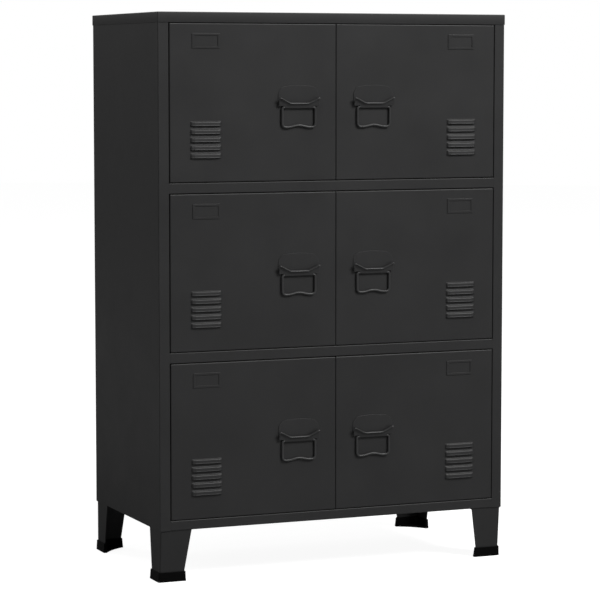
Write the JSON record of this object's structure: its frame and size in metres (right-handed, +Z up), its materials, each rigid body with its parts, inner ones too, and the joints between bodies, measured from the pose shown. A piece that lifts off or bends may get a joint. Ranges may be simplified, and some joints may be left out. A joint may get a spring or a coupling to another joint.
{
  "type": "steel locker cabinet",
  "caption": "Upright steel locker cabinet on tapered legs: louvred doors on pivot pins with card holders and drop bail handles, over shelved and partitioned lockers.",
  "frame": {"origin": "floor level, in the middle of the box that holds the cabinet with its handles", "axes": "+X to the right seen from the front, +Y to the back, +Z up"},
  "size_m": [0.75, 0.411, 1.115],
  "materials": {
    "powder_coat": "fine matt-satin anthracite powder coat",
    "handle_paint": "satin anthracite powder coat, worn a little at the edges",
    "feet": "matt moulded",
    "bushes": "black nylon",
    "catches": "moulded body with a dark magnet",
    "rivets": "painted over with the back",
    "bolts": "zinc plated",
    "pins": "zinc plated"
  },
  "bodies": {
    "carcass": {"top_panel": "powder_coat", "top_skirt": "powder_coat", "top_rail": "powder_coat", "left_side_panel": "powder_coat", "right_side_panel": "powder_coat", "back_panel": "powder_coat", "back_panel_rivets": "rivets", "base_panel": "powder_coat", "upper_shelf": "powder_coat", "lower_shelf": "powder_coat", "upper_partition": "powder_coat", "middle_partition": "powder_coat", "lower_partition": "powder_coat", "hinge_bushes": "bushes", "magnetic_catches": "catches", "leg_bolts": "bolts", "front_left_leg": "powder_coat", "front_left_foot": "feet", "front_right_leg": "powder_coat", "front_right_foot": "feet", "rear_left_leg": "powder_coat", "rear_left_foot": "feet", "rear_right_leg": "powder_coat", "rear_right_foot": "feet"},
    "upper_left_door": {"upper_left_door": "powder_coat", "upper_left_card_holder": "powder_coat", "upper_left_handle_plate": "handle_paint", "upper_left_hinge_pins": "pins"},
    "upper_left_bail": {"upper_left_bail": "handle_paint"},
    "upper_right_door": {"upper_right_door": "powder_coat", "upper_right_card_holder": "powder_coat", "upper_right_handle_plate": "handle_paint", "upper_right_hinge_pins": "pins"},
    "upper_right_bail": {"upper_right_bail": "handle_paint"},
    "middle_left_door": {"middle_left_door": "powder_coat", "middle_left_card_holder": "powder_coat", "middle_left_handle_plate": "handle_paint", "middle_left_hinge_pins": "pins"},
    "middle_left_bail": {"middle_left_bail": "handle_paint"},
    "middle_right_door": {"middle_right_door": "powder_coat", "middle_right_card_holder": "powder_coat", "middle_right_handle_plate": "handle_paint", "middle_right_hinge_pins": "pins"},
    "middle_right_bail": {"middle_right_bail": "handle_paint"},
    "lower_left_door": {"lower_left_door": "powder_coat", "lower_left_card_holder": "powder_coat", "lower_left_handle_plate": "handle_paint", "lower_left_hinge_pins": "pins"},
    "lower_left_bail": {"lower_left_bail": "handle_paint"},
    "lower_right_door": {"lower_right_door": "powder_coat", "lower_right_card_holder": "powder_coat", "lower_right_handle_plate": "handle_paint", "lower_right_hinge_pins": "pins"},
    "lower_right_bail": {"lower_right_bail": "handle_paint"}
  },
  "joints": [
    {"name": "upper_left_door_hinge", "type": "hinge", "parent": "carcass", "child": "upper_left_door", "pos_m": [-0.3398, -0.1885, 0.9393], "axis": [0, 0, -1], "range_deg": [0, 120]},
    {"name": "upper_left_bail_pivot", "type": "hinge", "parent": "upper_left_door", "child": "upper_left_bail", "pos_m": [-0.081, -0.19688, 0.9297], "axis": [-1, 0, 0], "range_deg": [0, 85]},
    {"name": "upper_right_door_hinge", "type": "hinge", "parent": "carcass", "child": "upper_right_door", "pos_m": [0.3398, -0.1885, 0.9393], "axis": [0, 0, 1], "range_deg": [0, 120]},
    {"name": "upper_right_bail_pivot", "type": "hinge", "parent": "upper_right_door", "child": "upper_right_bail", "pos_m": [0.081, -0.19688, 0.9297], "axis": [-1, 0, 0], "range_deg": [0, 85]},
    {"name": "middle_left_door_hinge", "type": "hinge", "parent": "carcass", "child": "middle_left_door", "pos_m": [-0.3398, -0.1885, 0.6083], "axis": [0, 0, -1], "range_deg": [0, 120]},
    {"name": "middle_left_bail_pivot", "type": "hinge", "parent": "middle_left_door", "child": "middle_left_bail", "pos_m": [-0.081, -0.19688, 0.5987], "axis": [-1, 0, 0], "range_deg": [0, 85]},
    {"name": "middle_right_door_hinge", "type": "hinge", "parent": "carcass", "child": "middle_right_door", "pos_m": [0.3398, -0.1885, 0.6083], "axis": [0, 0, 1], "range_deg": [0, 120]},
    {"name": "middle_right_bail_pivot", "type": "hinge", "parent": "middle_right_door", "child": "middle_right_bail", "pos_m": [0.081, -0.19688, 0.5987], "axis": [-1, 0, 0], "range_deg": [0, 85]},
    {"name": "lower_left_door_hinge", "type": "hinge", "parent": "carcass", "child": "lower_left_door", "pos_m": [-0.3398, -0.1885, 0.2773], "axis": [0, 0, -1], "range_deg": [0, 120]},
    {"name": "lower_left_bail_pivot", "type": "hinge", "parent": "lower_left_door", "child": "lower_left_bail", "pos_m": [-0.081, -0.19688, 0.2677], "axis": [-1, 0, 0], "range_deg": [0, 85]},
    {"name": "lower_right_door_hinge", "type": "hinge", "parent": "carcass", "child": "lower_right_door", "pos_m": [0.3398, -0.1885, 0.2773], "axis": [0, 0, 1], "range_deg": [0, 120]},
    {"name": "lower_right_bail_pivot", "type": "hinge", "parent": "lower_right_door", "child": "lower_right_bail", "pos_m": [0.081, -0.19688, 0.2677], "axis": [-1, 0, 0], "range_deg": [0, 85]}
  ]
}
